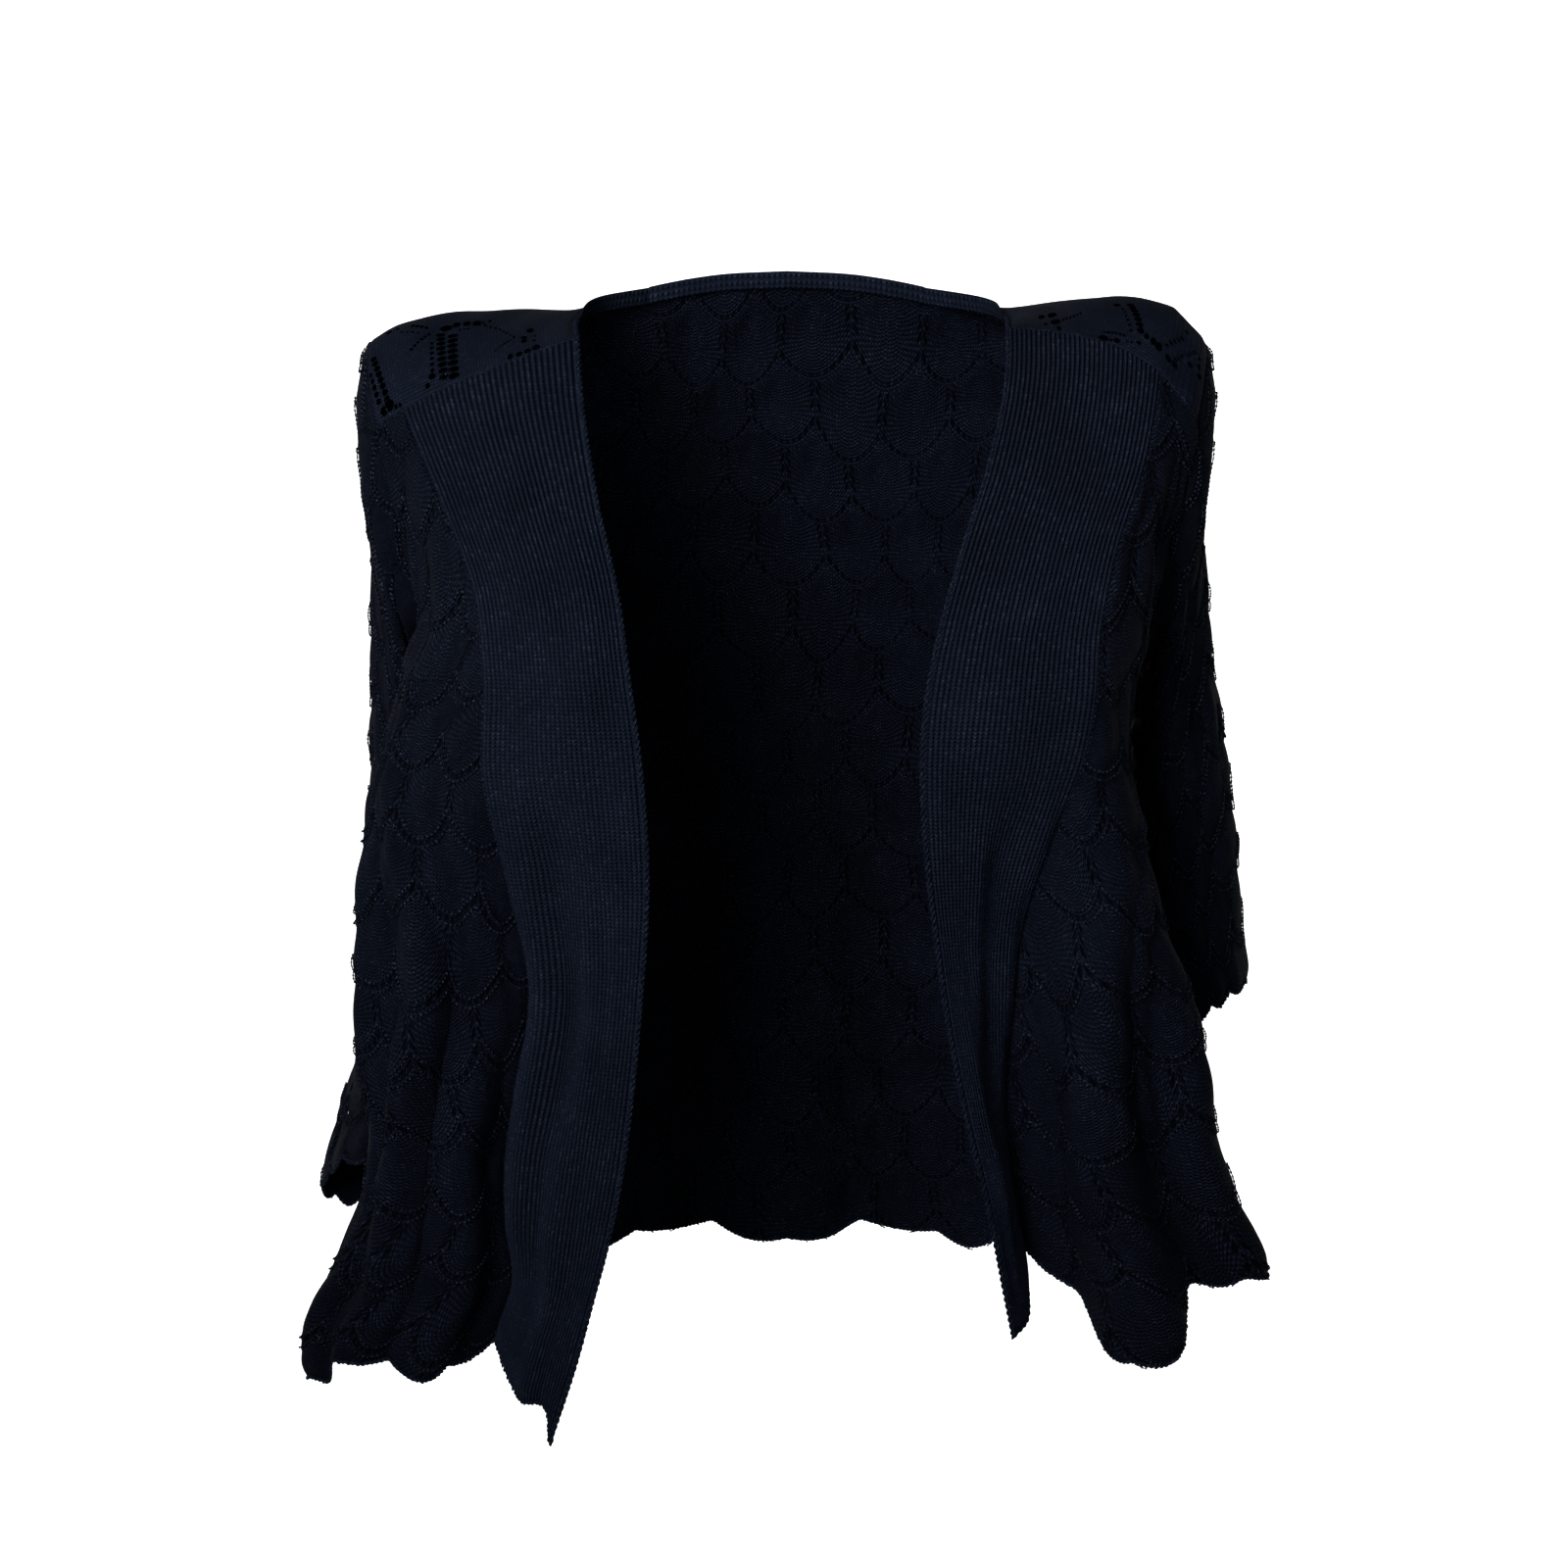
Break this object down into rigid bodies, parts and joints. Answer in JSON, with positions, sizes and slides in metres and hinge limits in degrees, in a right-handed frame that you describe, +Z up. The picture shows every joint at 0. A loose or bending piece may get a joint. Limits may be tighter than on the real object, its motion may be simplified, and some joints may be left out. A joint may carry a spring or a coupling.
{
  "type": "knitted_shrug",
  "caption": "Open-front knitted shrug in its worn shape, with ribbed front bands, scalloped lace fronts, back and half-length sleeves",
  "frame": {"origin": "midway between the two shoulder tops, where the wearer's shoulders hold the garment up", "axes": "+Z up along the wearer's body, -Y the garment's open front, +X the wearer's left"},
  "size_m": [0.5044, 0.2578, 0.5747],
  "materials": {
    "lace_knit": "soft, slightly fuzzy lace knit",
    "rib_knit": "soft ribbed knit",
    "yoke_knit": "smooth fine knit with eyelets",
    "edge_knit": "firm narrow knitted edge"
  },
  "bodies": {
    "root": {"back": "lace_knit", "band_left": "rib_knit", "band_right": "rib_knit", "front_left": "lace_knit", "front_right": "lace_knit", "neck_edge": "edge_knit", "sleeve_left": "lace_knit", "sleeve_right": "lace_knit", "yoke_left": "yoke_knit", "yoke_right": "yoke_knit"}
  },
  "joints": []
}
